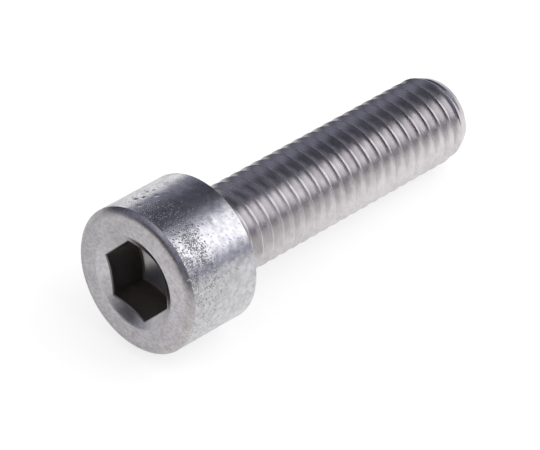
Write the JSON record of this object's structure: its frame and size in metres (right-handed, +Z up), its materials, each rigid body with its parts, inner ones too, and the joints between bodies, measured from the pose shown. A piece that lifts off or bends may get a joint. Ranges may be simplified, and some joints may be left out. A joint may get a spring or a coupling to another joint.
{
  "type": "hex socket cap screw",
  "caption": "Metric hex socket cap screw with a cylindrical head and a fully threaded shank, which clamps parts together and is driven with a hex key.",
  "frame": {"origin": "centre of the lying screw's box, at the level of the surface that it rests on", "axes": "+X from the head towards the point, +Z up; the screw's own axis sinks towards the point by about 5.2 degrees"},
  "size_m": [0.0378, 0.013, 0.0136],
  "materials": {
    "stainless": "satin stainless steel, finely grained on the face of the head, pitted in places on its side"
  },
  "bodies": {
    "root": {"cap_screw": "stainless"}
  },
  "joints": []
}
